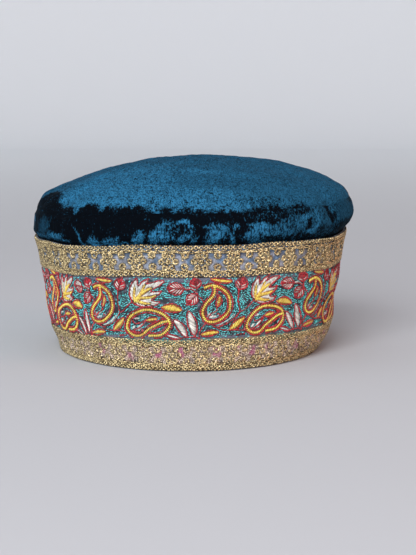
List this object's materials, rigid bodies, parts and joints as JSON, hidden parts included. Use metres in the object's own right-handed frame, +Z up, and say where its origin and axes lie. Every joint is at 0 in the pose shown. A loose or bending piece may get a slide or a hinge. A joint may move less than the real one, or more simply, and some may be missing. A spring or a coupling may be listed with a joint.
{
  "type": "kashmiri velvet cap",
  "caption": "Soft pillbox cap with a domed crushed-velvet crown, an embroidered paisley ribbon and gold lace along its edges.",
  "frame": {"origin": "the middle of the rim's plane, under the middle of the cap's box", "axes": "+Z up from the rim to the crown, the front of the cap faces -Y, +X is to the right of a viewer in front"},
  "size_m": [0.1961, 0.1964, 0.1169],
  "materials": {
    "velvet": "crushed velvet in deep peacock blue, near black where the pile turns away and bright blue where it lies over",
    "embroidery": "dense thread embroidery, teal ground with yellow satin paisleys, white leaves and red outlines",
    "gold_lace": "lace of gold metallic thread with rosettes and looped edges on a grey-blue net"
  },
  "bodies": {
    "root": {"crown_top": "velvet", "crown_side": "velvet", "embroidered_band": "embroidery", "upper_lace": "gold_lace", "lower_lace": "gold_lace"}
  },
  "joints": []
}
